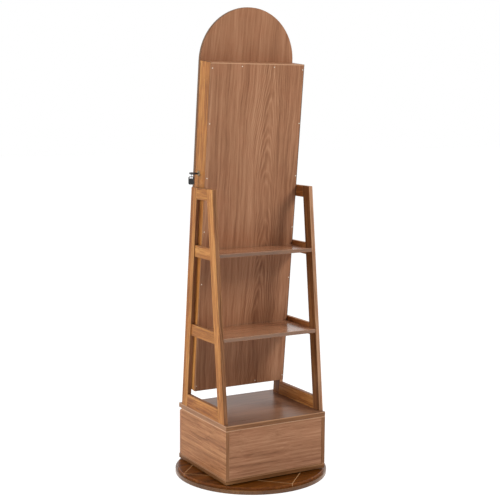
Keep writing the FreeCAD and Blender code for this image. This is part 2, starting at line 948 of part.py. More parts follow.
def lock_cam():
    """Flat cam on the plug's inner end, pointing at the door while the lock is open."""
    x1 = cam_plane_x()
    blade = box(x1 - cam_steel, x1, -lock_depth - cam_length, -lock_depth,
                lock_height - cam_width / 2, lock_height + cam_width / 2)
    eye = rod(cam_width / 2, lock_point(x1), V(-1, 0, 0), cam_steel)
    return lean(blade.fuse(eye).removeSplitter())


def key_blade():
    x0 = lock_face_x() - key_blade_inside
    return lean(key_blade_solid(x0, lock_face_x() + key_neck))


def bow(length, width, thickness):
    """Flat key bow along +X from the origin, with rounded corners and a slot for the ring."""
    plate = box(0, length, -width / 2, width / 2, -thickness / 2, thickness / 2)
    upright = [e for e in plate.Edges if abs(e.Vertexes[0].Point.z - e.Vertexes[1].Point.z) > 1]
    plate = plate.makeFillet(key_bow_corner, upright)
    x1 = length - key_slot_inset
    slot = box(x1 - key_slot_width, x1, -key_slot_length / 2, key_slot_length / 2,
               -thickness, thickness)
    return plate.cut(slot)


def key_bow():
    head = bow(key_bow_length, key_bow_width, key_bow_thickness)
    head.translate(lock_point(lock_face_x() + key_neck))
    return lean(head)


def ring_centre():
    """The ring hangs plumb round the side of the bow, so it is placed upright."""
    drop = key_ring_wire + key_ring_seat + key_bow_thickness / 2
    reach = math.sqrt(key_ring_radius ** 2 - (key_ring_radius - drop) ** 2)
    slot_x = key_bow_length - key_slot_inset - key_slot_width / 2
    bar = V(slot_x - reach * math.cos(key_ring_turn), -(key_bow_width + key_slot_length) / 4, 0)
    place = lean(Part.Vertex(lock_point(lock_face_x() + key_neck) + bar)).Point
    return place + V(0, 0, drop - key_ring_radius)


def key_ring():
    """Ring of square wire, level until it is turned to hang through the bow's slot."""
    inner = key_ring_radius - key_ring_wire
    outer = key_ring_radius + key_ring_wire
    ring = revolve_ring([(inner, -key_ring_wire), (outer, -key_ring_wire),
                         (outer, key_ring_wire), (inner, key_ring_wire)])
    normal = V(-math.sin(key_ring_turn), math.cos(key_ring_turn), 0)
    ring.Placement = FreeCAD.Placement(ring_centre(), FreeCAD.Rotation(V(0, 0, 1), normal))
    return ring


def spare_key_solids():
    """Spare key that hangs across the ring, with its blade folded behind its bow."""
    head = bow(key_bow_length, key_bow_width, key_bow_thickness)
    blade = box(0, spare_blade_length, -key_blade_width / 2, key_blade_width / 2,
                -key_bow_thickness / 2 - key_blade_steel, -key_bow_thickness / 2)
    bar_underside = key_bow_length - key_slot_inset
    rest_z = ring_centre().z - key_ring_radius + key_ring_wire + key_ring_seat
    placed = []
    for solid in (head, blade):
        solid.rotate(V(0, 0, 0), V(0, 1, 0), -90)
        solid.rotate(V(0, 0, 0), V(0, 0, 1), key_ring_turn_deg - 180)
        solid.translate(V(ring_centre().x, ring_centre().y, rest_z - bar_underside))
        placed.append(solid)
    return placed


def build_parts():
    """Every node by name."""
    parts = {
        "plinth": plinth(),
        "veneered_disc": veneered_disc(),
        "disc_inlay": disc_inlay(),
        "floor_pads": floor_pads(),
        "bearing_lower_race": bearing_lower_race(),
        "lower_race_screws": lower_race_screws(),
        "bearing_balls": bearing_balls(),
        "bearing_cage": bearing_cage(),
        "bearing_upper_race": bearing_upper_race(),
        "upper_race_screws": upper_race_screws(),
        "cabinet_bottom": cabinet_bottom(),
        "cabinet_top": cabinet_top(),
        "cabinet_back": cabinet_back(),
        "frame_dowels": frame_dowels(),
        "drawer_front": drawer_front(),
        "drawer_back": drawer_back(),
        "drawer_bottom": drawer_bottom_panel(),
        "upper_shelf": shelf(upper_rail_top_z),
        "lower_shelf": shelf(lower_rail_top_z),
        "shelf_dowels": shelf_dowels(),
        "case_bolts": case_bolts(),
        "case_side_left": case_side_left(),
        "case_side_right": case_side_right(),
        "case_top": case_top(),
        "case_bottom": case_bottom(),
        "case_back_panel": case_back_panel(),
        "case_lining": case_lining(),
        "inner_shelves": inner_shelves(),
        "guard_rails": guard_rails(),
        "ring_rolls": ring_rolls(),
        "hook_rail": hook_rail(),
        "necklace_hooks": necklace_hooks(),
        "earring_panel": earring_panel(),
        "hinge_case_leaves": hinge_case_leaves(),
        "hinge_door_leaves": hinge_door_leaves(),
        "hinge_pins": hinge_pins(),
        "door_panel": door_panel(),
        "mirror": mirror(),
        "door_strike": door_strike(),
        "lock_barrel": lock_barrel(),
        "lock_nut": lock_nut(),
        "lock_plug": lock_plug(),
        "lock_cam": lock_cam(),
        "key_blade": key_blade(),
        "key_bow": key_bow(),
        "key_ring": key_ring(),
    }
    spare_bow, spare_blade = spare_key_solids()
    parts["spare_key_bow"] = spare_bow
    parts["spare_key_blade"] = spare_blade
    pairs = {
        "cabinet_sides": [cabinet_side_right()],
        "cabinet_runners": [cabinet_runner_right()],
        "drawer_runners": [drawer_runner_right()],
        "drawer_sides": [drawer_side_right()],
        "foot_rails": [foot_rail_right()],
        "middle_rails": [lower_rail_right(), upper_rail_right()],
        "head_rails": [head_rail_right()],
    }
    for name, shapes in pairs.items():
        parts[name] = group(shapes + [mirrored_x(shape) for shape in shapes])
    for name, shape in {"front_leg": front_leg_right(), "back_leg": back_leg_right()}.items():
        parts[name + "_right"] = shape
        parts[name + "_left"] = mirrored_x(shape)
    return parts


def main():
    os.makedirs("parts", exist_ok=True)
    for name, shape in build_parts().items():
        if not shape.isValid() or shape.Volume <= 0:
            print("bad shape", name)
        shape.exportStep("parts/" + name + ".step")
    print(len(os.listdir("parts")), "parts")


if __name__ == "__main__":
    main()
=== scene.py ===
"""Rotating jewelry armoire, dressed for a picture from behind and to its right.

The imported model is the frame. This script gives every solid its material, adds the small
pieces that the solids leave out, and sets the floor, the light and the camera. Metres.
"""
import bmesh
import bpy
import json
import math
from mathutils import Matrix, Vector, noise


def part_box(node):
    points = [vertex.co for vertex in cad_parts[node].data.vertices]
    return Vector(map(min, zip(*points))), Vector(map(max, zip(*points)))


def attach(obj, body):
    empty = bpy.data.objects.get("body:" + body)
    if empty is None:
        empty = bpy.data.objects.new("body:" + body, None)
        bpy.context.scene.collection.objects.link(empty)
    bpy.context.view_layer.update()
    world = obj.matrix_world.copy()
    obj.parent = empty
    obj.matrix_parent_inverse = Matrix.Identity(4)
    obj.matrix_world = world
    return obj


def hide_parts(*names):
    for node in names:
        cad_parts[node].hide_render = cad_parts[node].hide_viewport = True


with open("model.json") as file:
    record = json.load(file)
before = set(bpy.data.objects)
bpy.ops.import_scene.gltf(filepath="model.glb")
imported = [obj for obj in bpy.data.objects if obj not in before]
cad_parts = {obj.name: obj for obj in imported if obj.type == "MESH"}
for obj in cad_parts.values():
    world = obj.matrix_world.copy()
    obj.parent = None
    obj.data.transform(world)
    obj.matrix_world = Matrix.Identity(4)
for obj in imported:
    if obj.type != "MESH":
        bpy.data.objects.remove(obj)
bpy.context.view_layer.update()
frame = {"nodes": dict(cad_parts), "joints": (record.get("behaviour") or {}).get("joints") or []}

scene = bpy.context.scene

# Camera, fitted to the photograph
camera_place = Vector((1.8256894, 3.1727958, 1.2181604))
camera_heading_deg = 150.188
camera_dip_deg = 7.484
camera_roll_deg = 0.325
camera_lens_mm = 81.93
camera_sensor_mm = 36.0
camera_reach = 100

# Light and floor
sky_light = 0.3
sky_white = 1.0
key_place = Vector((3.3, -1.0, 1.8))
key_size = 1.8
key_power = 78.0
back_place = Vector((-2.2, 2.7, 3.3))
back_size = 1.5
back_power = 122.0
front_place = Vector((0.8, -3.6, 2.4))
front_size = 3.8
front_power = 46.0
lamps_aim = Vector((0, 0, 0.75))
floor_size = 40.0
floor_glow = 0.8
floor_white = 1.2
floor_rough = 0.6

# Leaning case, from the door's hinge axis and the case's back panel
door_axis = next(Vector(j["axis"]) for j in frame["joints"] if j["name"] == "door_swing")
case_up = -door_axis.normalized()
case_out = Vector((0, case_up.z, -case_up.y))
case_back_board = 0.004
case_depth = 0.072
case_width = 0.340
case_height = 1.070
back_low = Vector(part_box("case_back_panel")[0])
case_foot = Vector((0, back_low.y + case_back_board * case_up.z, back_low.z))

# Legs of the A-frames
leg_width = 0.038

# Nails in the case's back
nail_radius = 0.0021
nail_rise = 0.0007
nail_inset = 0.0055
nail_row_inset = 0.0105
nail_corner_inset = 0.0175
nail_row_x = (0.059, -0.058)
nail_spacing = 0.17

# Ring on the keys
ring_radius = 0.009
ring_wire = 0.00042
ring_turns = 2
ring_steps = 40

# Screws in the hinges' leaves
door_gap = 0.002
hinge_leaf = 0.00085
hinge_inset = 0.110
hinge_screw_x = -0.1645
hinge_screw_pitch = 0.022
hinge_screw_radius = 0.0023
hinge_screw_rise = 0.00012

# Ring rolls, which lie against the lining on the third inner shelf
roll_count = 5
roll_radius = 0.011
roll_start = 0.0105
roll_end_share = 0.84
roll_end_growth = 0.16
roll_pitch = 0.0236
roll_first_z = 0.4814
roll_half = 0.1565
roll_back_y = -0.006
roll_round = 0.004
crown_share = 6
roll_sides = 32
roll_lengths = 72

# Gathers at the rolls' ends, small waves in their velvet, and the piping round each end
gather_count = 9
gather_depth = 0.00022
gather_reach = 0.011
gather_turn = 1.7
wave_depth = 0.0001
wave_along = 70
wave_around = 1.6
piping_radius = 0.0005
piping_steps = 40

# Cloth that swells the rolls
puff_frames = 12
puff_pressure = 4.0
puff_mass = 0.05
puff_quality = 6
puff_cap = 0.0005
puff_glue = 0.0004

# Moulded edges of plain solids
bow_rounding = 0.0012
hook_rounding = 0.0009
rounding_angle_deg = 40
rounding_segments = 3

# Places of a Mix node's share, colour and result sockets
mix_colour_inputs = (0, 6, 7)
mix_colour_output = 2

# Directions that boards' grain follows
along_x = Vector((1, 0, 0))
along_y = Vector((0, 1, 0))
along_z = Vector((0, 0, 1))

# Each board's shift moves its figure across the grain, and this many times as far along it
shift_along = 3

# Wood's figure: cells per metre across and along the grain, and what each layer adds to a
# share that runs from dark to light
noise_middle = 0.5
wander_cells = (5, 2.6)
wander_reach = 0.05
band_cells = (24, 0.7)
band_depth = 0.8
streak_cells = (130, 4.2)
streak_depth = 1.1
line_cells = (330, 6.5)
line_range = (0.54, 0.7)
line_depth = 0.22
pore_cells = (900, 30)
pore_depth = 0.35
middle_share = 0.53
tone_stops = (0.1, 0.5, 0.92)

# Nested arches in the wood: rings per metre, how they climb and ripple, and where they show
arch_crown = 0.00025
arch_rings = 150.0
arch_climb = 17.0
arch_ripple = 3.4
arch_ripple_cells = (15, 5.0)
arch_patch_cells = (9, 3.0)
arch_patch_range = (0.36, 0.62)
arch_fade = (0.1, 0.02)
arch_power = 1.6
arch_middle = 0.42

# How squarely a surface faces a direction where its tones change
end_facing = (0.85, 0.97)
face_facing = (0.55, 0.8)
eased_facing = (0.93, 0.8)

# Blush, pores, end grain, lines and relief of the wood
cloud_cells = 16
cloud_range = (0.42, 0.68)
blush_tint = (1.0, 0.8, 0.78, 1.0)
fleck_range = (0.66, 0.8)
fleck_depth = 0.3
speckle_cells = 1500
speckle_share = 0.5
speckle_streaks = 0.35
speckle_stops = (0.25, 0.75)
speckle_depth = 0.75
# How the painted highlight and shade lines fade at their sides and follow the streaks
line_fade = (1.2, 0.8)
painted_line_streaks = 0.5
line_cover = 0.55
wood_relief = 0.00012
wood_relief_strength = 0.45
pore_relief = 0.7
sheen_swing = 0.16

# The frame beyond this place stands in the case's shade. Its colours there are painted: shade on
# faces that turn towards +X, light on the others
far_x = -0.13
far_fade = 0.02

# Lines on boards: painted highlights along edges, and a painted shade line
line_half = 0.0014
line_drop = 0.0018

# Metal: smudges all over, and brush lines
smudge_cells = 90
smudge_depth = 0.25
smudge_tint = (0.3, 0.3, 0.3, 1)
brush_cells = (4000, 90)
brush_relief = 0.00004

# Plastic and rubber: a fine texture, and a haze in soft patches
texture_cells = 1800
texture_relief = 0.00008
texture_strength = 0.7
haze_cells = 60
haze_swing = 0.2

# Velvet: its pile, and the patches where it is brushed
pile_cells = 2600
pile_depth = 0.35
pile_relief = 0.0003
pile_strength = 0.8
patch_cells = 22
patch_depth = 0.6
patch_distortion = 0.6
velvet_rough = 0.95
velvet_sheen = 0.8
velvet_sheen_rough = 0.35

# Mirror: how squarely its silver faces front, and the dust on it
silver_facing = (0.93, 0.98)
dust_cells = 14
dust_rough = 0.02
mirror_rough = 0.012


def srgb(red, green, blue):
    """Linear colour with full alpha from display values of 0 to 255."""
    def linear(value):
        share = value / 255
        return share / 12.92 if share <= 0.04045 else ((share + 0.055) / 1.055) ** 2.4
    return (linear(red), linear(green), linear(blue), 1.0)


def in_case(x, y, z):
    """Point in the row frame from the case frame, where Y = 0 is its back and Z = 0 its foot."""
    return case_foot + Vector((x, y * case_up.z + z * case_up.y, z * case_up.z - y * case_up.y))


def perpendicular(direction):
    """The two directions across another."""
    other = along_x if abs(direction.x) < 0.7 else along_y
    across = (other - direction * other.dot(direction)).normalized()
    return across, direction.cross(across)


# Materials

class Nodes:
    """Adds nodes to one tree, with sockets or plain values as inputs."""

    def __init__(self, tree):
        self.tree = tree

    def put(self, socket, value):
        if isinstance(value, bpy.types.NodeSocket):
            self.tree.links.new(value, socket)
        else:
            socket.default_value = value

    def node(self, kind, **inputs):
        made = self.tree.nodes.new(kind)
        for key, value in inputs.items():
            self.put(made.inputs[key.replace("_", " ")], value)
        return made

    def place(self):
        """Where a point is in the row frame, in metres, at rest."""
        return self.node("ShaderNodeTexCoord").outputs["Object"]

    def normal(self):
        return self.node("ShaderNodeTexCoord").outputs["Normal"]

    def math(self, operation, a, b=0.0, c=0.0):
        made = self.node("ShaderNodeMath")
        made.operation = operation
        for socket, value in zip(made.inputs, (a, b, c)):
            self.put(socket, value)
        return made.outputs[0]

    def dot(self, a, axis):
        made = self.node("ShaderNodeVectorMath")
        made.operation = "DOT_PRODUCT"
        self.put(made.inputs[0], a)
        made.inputs[1].default_value = axis
        return made.outputs["Value"]

    def vector(self, x, y, z):
        return self.node("ShaderNodeCombineXYZ", X=x, Y=y, Z=z).outputs[0]

    def noise(self, vector, scale=1.0, detail=3.0, roughness=0.5, distortion=0.0):
        made = self.node("ShaderNodeTexNoise", Vector=vector, Scale=scale, Detail=detail,
                         Roughness=roughness, Distortion=distortion)
        return made.outputs["Fac"]

    def swing(self, value, depth, base):
        """Base plus a depth times how far a noise is from its middle."""
        return self.math("MULTIPLY_ADD", self.math("SUBTRACT", value, noise_middle), depth, base)

    def ramp(self, value, stops):
        """Colours along a value, as (place, colour) stops."""
        made = self.node("ShaderNodeValToRGB")
        self.put(made.inputs[0], value)
        points = made.color_ramp.elements
        while len(points) < len(stops):
            points.new(0.5)
        for point, (place, colour) in zip(points, stops):
            point.position = place
            point.color = colour
        return made.outputs["Color"]

    def steps(self, value, low, high):
        """Value stretched so that low gives 0 and high gives 1, and clamped."""
        made = self.node("ShaderNodeMapRange", Value=value, From_Min=low, From_Max=high)
        return made.outputs["Result"]

    def mix(self, share, a, b, blend="MIX"):
        """Mix of two colours. Its sockets go by place, because several share each name."""
        made = self.node("ShaderNodeMix")
        made.data_type = "RGBA"
        made.blend_type = blend
        for index, value in zip(mix_colour_inputs, (share, a, b)):
            self.put(made.inputs[index], value)
        return made.outputs[mix_colour_output]

    def seen(self):
        """1 where a surface is seen, mirrored or looked at through glass, and otherwise 0."""
        rays = self.node("ShaderNodeLightPath").outputs
        return self.math("MAXIMUM", rays["Is Camera Ray"],
                         self.math("MAXIMUM", rays["Is Glossy Ray"],
                                   rays["Is Transmission Ray"]))

    def blend(self, share, first, second, output):
        """Puts a mix of two shaders into an output node."""
        made = self.node("ShaderNodeMixShader")
        for socket, value in zip(made.inputs, (share, first, second)):
            self.put(socket, value)
        self.put(self.tree.nodes[output].inputs[0], made.outputs[0])


class Look(Nodes):
    """Material with a Principled shader, and the nodes that feed it."""

    def __init__(self, name):
        self.material = bpy.data.materials.new(name)
        self.material.use_nodes = True
        super().__init__(self.material.node_tree)
        self.shader = self.tree.nodes["Principled BSDF"]

    def bump(self, height, distance, strength):
        made = self.node("ShaderNodeBump", Height=height, Distance=distance, Strength=strength)
        self.put(self.shader.inputs["Normal"], made.outputs[0])

    def finish(self, **inputs):
        for key, value in inputs.items():
            self.put(self.shader.inputs[key.replace("_", " ")], value)
        return self.material


def streaked(n, place, grain, shift, contrast, arches, arches_x):
    """Share from dark to light of wood whose streaks follow a direction, its pores, its streaks."""
    across_way, depth_way = perpendicular(grain)
    across = n.math("ADD", n.dot(place, across_way), shift)
    depth = n.dot(place, depth_way)
    along = n.math("ADD", n.dot(place, grain), shift * shift_along)

    def stretched(sideways, cells):
        fine, length = cells
        return n.vector(n.math("MULTIPLY", sideways, fine), n.math("MULTIPLY", depth, fine),
                        n.math("MULTIPLY", along, length))

    wander = n.noise(stretched(across, wander_cells), detail=3)
    bent = n.math("MULTIPLY_ADD", wander, wander_reach, across)
    bands = n.noise(stretched(bent, band_cells), detail=3, roughness=0.55)
    streaks = n.noise(stretched(bent, streak_cells), detail=5, roughness=0.66)
    lines = n.noise(stretched(bent, line_cells), detail=3, roughness=0.6)
    pores = n.noise(stretched(bent, pore_cells), detail=2)
    value = n.swing(bands, band_depth * contrast, middle_share)
    value = n.swing(streaks, streak_depth * contrast, value)
    value = n.math("MULTIPLY_ADD", n.steps(lines, *line_range), -line_depth * contrast, value)
    value = n.swing(pores, pore_depth * contrast, value)
    if arches:
        centred = n.math("SUBTRACT", bent, arches_x + shift)
        bowl = n.math("SQRT", n.math("MULTIPLY_ADD", centred, centred, arch_crown))
        ripple = n.noise(stretched(bent, arch_ripple_cells), detail=3, roughness=0.6)
        rings = n.math("MULTIPLY_ADD", bowl, arch_rings, n.math("MULTIPLY", along, arch_climb))
        rings = n.math("MULTIPLY_ADD", ripple, arch_ripple, rings)
        wave = n.math("ABSOLUTE", n.math("MULTIPLY_ADD", n.math("FRACT", rings), 2.0, -1.0))
        patchy = n.steps(n.noise(stretched(bent, arch_patch_cells), detail=2), *arch_patch_range)
        reach = n.steps(n.math("ABSOLUTE", centred), *arch_fade)
        shown = n.math("MULTIPLY", n.math("MULTIPLY", reach, patchy), arches)
        value = n.math("MULTIPLY_ADD",
                       n.math("SUBTRACT", n.math("POWER", wave, arch_power), arch_middle),
                       shown, value)
    return value, pores, streaks


def wood(name, grain, tones, face_way=None, side_tones=None, band_way=None, shift=0.0,
         arches=0.0, arches_x=0.0, contrast=1.0, rough=0.48, shine=0.18, solid=False,
         blush=0.2, edge_light=0.16, far_tones=None, lines=()):
    """Lacquered wood whose streaks follow a direction, with nested arches if asked.

    Tones are its dark, middle and light colours. Surfaces that don't face along face_way take
    side_tones. Ends across the grain are banded with veneer that runs along band_way, or on
    solid wood are darker and speckled. Eased edges get a painted highlight from edge_light.
    Beyond far_x, far_tones give painted shade to faces that turn towards +X and painted
    light to the others. Each of the lines, a painted highlight or painted shade, is a direction,
    a place along it, half a width and a colour.
    """
    n = Look(name)
    place = n.place()
    facing = n.normal()
    value, pores, streaks = streaked(n, place, grain, shift, contrast, arches, arches_x)

    def squarely(way):
        return n.math("ABSOLUTE", n.dot(facing, way))

    end = n.steps(squarely(grain), *end_facing)
    if band_way:
        banding = streaked(n, place, band_way, shift, contrast, 0.0, 0.0)[0]
        value = n.math("MULTIPLY_ADD", n.math("SUBTRACT", banding, value), end, value)

    def toned(three_tones):
        return n.ramp(value, list(zip(tone_stops, three_tones)))

    colour = toned(tones)
    if side_tones:
        colour = n.mix(n.steps(squarely(face_way), *face_facing), toned(side_tones), colour)
    # Beyond far_x, painted shade on faces towards +X and painted light on the others
    if far_tones:
        inside, others = [toned(three_tones) for three_tones in far_tones]
        distant = n.mix(n.steps(n.dot(facing, along_x), *face_facing), others, inside)
        colour = n.mix(n.steps(n.dot(place, along_x), far_x, far_x - far_fade), colour, distant)
    clouds = n.steps(n.noise(place, cloud_cells, detail=3, roughness=0.6), *cloud_range)
    colour = n.mix(n.math("MULTIPLY", clouds, blush), colour, blush_tint, "MULTIPLY")
    flecks = n.steps(pores, *fleck_range)
    colour = n.mix(n.math("MULTIPLY", flecks, fleck_depth), colour, tones[0])
    if solid:
        speckle = n.noise(place, speckle_cells, detail=2, roughness=0.6)
        ringed = n.math("MULTIPLY_ADD", speckle, speckle_share,
                        n.math("MULTIPLY", streaks, speckle_streaks))
        colour = n.mix(n.math("MULTIPLY", end, speckle_depth), colour,
                       n.ramp(ringed, list(zip(speckle_stops, tones[:2]))))
    across_way, depth_way = perpendicular(grain)
    flat = n.math("MAXIMUM", squarely(grain),
                  n.math("MAXIMUM", squarely(across_way), squarely(depth_way)))
    # Painted highlight on eased edges
    eased = n.steps(flat, *eased_facing)
    colour = n.mix(n.math("MULTIPLY", eased, edge_light), colour, tones[2], "SCREEN")
    # Painted highlights and painted shade along the given lines
    for way, offset, half, tone in lines:
        away = n.math("ABSOLUTE", n.math("SUBTRACT", n.dot(place, way), offset))
        near = n.steps(away, *[half * edge for edge in line_fade])
        painted_line_share = n.math("MULTIPLY_ADD", streaks, painted_line_streaks, line_cover)
        colour = n.mix(n.math("MULTIPLY", near, painted_line_share), colour, tone)
    n.bump(n.math("MULTIPLY_ADD", pores, pore_relief, streaks), wood_relief,
           wood_relief_strength)
    return n.finish(Base_Color=colour, Roughness=n.swing(streaks, sheen_swing, rough),
                    Specular_IOR_Level=shine)


def metal(name, colour, roughness, streak=along_z, brushed=0.0):
    """Metal with faint smudges, and brush lines along a direction if asked."""
    n = Look(name)
    place = n.place()
    smudge = n.noise(place, smudge_cells, detail=4, roughness=0.6)
    if brushed:
        across_way, depth_way = perpendicular(streak)
        fine, length = brush_cells
        lines = n.noise(n.vector(n.math("MULTIPLY", n.dot(place, across_way), fine),
                                 n.math("MULTIPLY", n.dot(place, depth_way), fine),
                                 n.math("MULTIPLY", n.dot(place, streak), length)), detail=2)
        n.bump(lines, brush_relief, brushed)
    tint = n.mix(n.math("MULTIPLY", smudge, smudge_depth), colour, smudge_tint, "MULTIPLY")
    return n.finish(Base_Color=tint, Roughness=n.swing(smudge, roughness, roughness),
                    Metallic=1.0)


def moulded(name, colour, roughness, variation):
    """Plastic or rubber with a fine texture on it."""
    n = Look(name)
    place = n.place()
    texture = n.noise(place, texture_cells, detail=2, roughness=0.5)
    haze = n.noise(place, haze_cells, detail=3, roughness=0.5)
    tint = n.mix(n.math("MULTIPLY", haze, variation), colour, haze_tone)
    n.bump(texture, texture_relief, texture_strength)
    return n.finish(Base_Color=tint, Roughness=n.swing(haze, haze_swing, roughness))


def velvet(name, colour, brushed_colour, deep_colour):
    """Short pile that catches light at its edges and is brushed in patches."""
    n = Look(name)
    place = n.place()
    pile = n.noise(place, pile_cells, detail=2, roughness=0.6)
    patches = n.noise(place, patch_cells, detail=3, roughness=0.55, distortion=patch_distortion)
    lit = n.mix(n.math("MULTIPLY", patches, patch_depth), colour, brushed_colour)
    tint = n.mix(n.math("MULTIPLY", pile, pile_depth), lit, deep_colour)
    n.bump(pile, pile_relief, pile_strength)
    return n.finish(Base_Color=tint, Roughness=velvet_rough, Sheen_Weight=velvet_sheen,
                    Sheen_Roughness=velvet_sheen_rough)


def mirror_glass():
    """Silvered face towards the front, with the olive of thick glass at its edges."""
    n = Look("mirror_silver")
    silver = n.steps(n.dot(n.normal(), -case_out), *silver_facing)
    dust = n.noise(n.place(), dust_cells, detail=4, roughness=0.6)
    colour = n.mix(silver, glass_edge_tone, silver_tone)
    rough = n.math("MULTIPLY_ADD", dust, dust_rough, mirror_rough)
    return n.finish(Base_Color=colour, Roughness=rough, Metallic=silver)


# Colours that whole kinds of material share
haze_tone = srgb(128, 124, 120)
glass_edge_tone = srgb(66, 62, 50)
silver_tone = srgb(184, 191, 195)
floor_tone = srgb(244, 244, 244)

# Tones of the wood, each from dark to light: the case and shelves, the frames, the cabinet,
# the base, and the parts inside
panel_tones = (srgb(124, 82, 57), srgb(163, 115, 84), srgb(190, 142, 109))
back_edge_tones = (srgb(116, 80, 54), srgb(144, 104, 74), srgb(168, 126, 94))
door_edge_tones = (srgb(72, 46, 28), srgb(112, 78, 50), srgb(144, 106, 72))
shelf_edge_tones = (srgb(86, 52, 27), srgb(124, 82, 49), srgb(154, 108, 68))
# Frames take frame_tones on faces along X and rail_tones on the others: painted light makes the X
# faces brighter and more orange
frame_tones = (srgb(118, 66, 26), srgb(166, 107, 50), srgb(204, 148, 82))
# A lighter copy of the frame's tones for the foot rails and one back leg: painted light
painted_light_frame_tones = (srgb(126, 72, 31), srgb(177, 116, 58), srgb(214, 158, 92))
rail_tones = (srgb(96, 60, 34), srgb(138, 94, 62), srgb(172, 126, 90))
# Far frame beyond far_x: darker tones on faces towards +X are painted shade, and lighter tones on
# the others are painted light
frame_far_tones = (srgb(80, 47, 22), srgb(122, 77, 42), srgb(156, 107, 64))
far_head_shade_tones = (srgb(110, 64, 30), srgb(162, 104, 56), srgb(198, 140, 84))
rail_far_tones = (srgb(132, 92, 64), srgb(178, 134, 102), srgb(208, 166, 132))
cabinet_tones = (srgb(118, 72, 38), srgb(162, 110, 71), srgb(194, 142, 98))
band_tones = (srgb(100, 64, 38), srgb(142, 98, 66), srgb(172, 126, 90))
# The cabinet top's face is darker and greyer than the cabinet's other boards: painted shade and
# painted reflection
top_face_shade_tones = (srgb(104, 71, 51), srgb(131, 93, 69), srgb(155, 114, 88))
top_band_tones = (srgb(98, 60, 34), srgb(138, 94, 60), srgb(170, 122, 82))
# The cabinet's bottom board takes darker tones than its other boards: painted shade under the
# cabinet
bottom_board_shade_tones = (srgb(78, 46, 20), srgb(116, 76, 42), srgb(148, 104, 64))
disc_tones = (srgb(42, 18, 1), srgb(95, 51, 11), srgb(150, 88, 25))
rim_tones = (srgb(76, 37, 10), srgb(120, 66, 24), srgb(156, 95, 42))
plinth_tones = (srgb(78, 45, 18), srgb(107, 68, 33), srgb(136, 93, 52))
inlay_tones = (srgb(176, 132, 90), srgb(206, 164, 118), srgb(224, 188, 146))
beech_tones = (srgb(178, 140, 98), srgb(206, 170, 126), srgb(222, 192, 150))
ply_tones = (srgb(120, 82, 56), srgb(158, 114, 84), srgb(184, 142, 110))

# Colours of the lines on boards: painted highlights, and a painted shade
edge_highlight_tone = srgb(204, 160, 126)
lip_highlight_tone = srgb(186, 140, 104)
low_highlight_tone = srgb(166, 120, 86)
shaded_tone = srgb(66, 42, 34)


def leg_direction(node, towards):
    """The way a leg leans, from its box's foot to its head."""
    low, high = [Vector(c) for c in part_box(node)]
    run = (high.y - low.y - leg_width) * towards
    return Vector((0, run, high.z - low.z)).normalized()


def frame_look(grain, shift, **others):
    # Faces along X take frame_tones and the others rail_tones, which paints light onto the X faces
    look = dict(grain=grain, tones=frame_tones, face_way=along_x, side_tones=rail_tones,
                shift=shift, contrast=1.5, solid=True, blush=0.3,
                far_tones=(frame_far_tones, rail_far_tones))
    return dict(look, **others)


def panel_look(grain, shift, **others):
    return dict(grain=grain, tones=panel_tones, shift=shift, **others)


def shelf_look(shift):
    return panel_look(along_x, shift, face_way=along_z, side_tones=shelf_edge_tones,
                      contrast=0.8, rough=0.2, shine=0.9, edge_light=0.3)


def plain_look(grain, tones, shift):
    return dict(grain=grain, tones=tones, shift=shift)


cabinet_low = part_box("cabinet_bottom")[1][2]
cabinet_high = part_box("cabinet_top")[0][2]
lip_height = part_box("cabinet_top")[1][2] - line_drop
case_lip = in_case(0, 0, case_height - line_drop).dot(case_up)
case_far_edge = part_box("case_back_panel")[0][0] + line_half
# Painted highlights along the cabinet's joints, its top's lip and the case's top, and painted shade
# along the case back's far edge
joint_lines = [(along_z, cabinet_low + line_drop, line_half, low_highlight_tone),
               (along_z, cabinet_high - line_drop, line_half, edge_highlight_tone)]
floor_lines = [(along_z, cabinet_low - line_drop, line_half, low_highlight_tone)]
top_lines = [(along_z, lip_height, line_half, lip_highlight_tone)]
case_lines = [(case_up, case_lip, line_half, edge_highlight_tone),
              (along_x, case_far_edge, line_half, shaded_tone)]
# Painted shade and painted light for the far frame's middle and head rails
head_tones = (far_head_shade_tones, rail_far_tones)

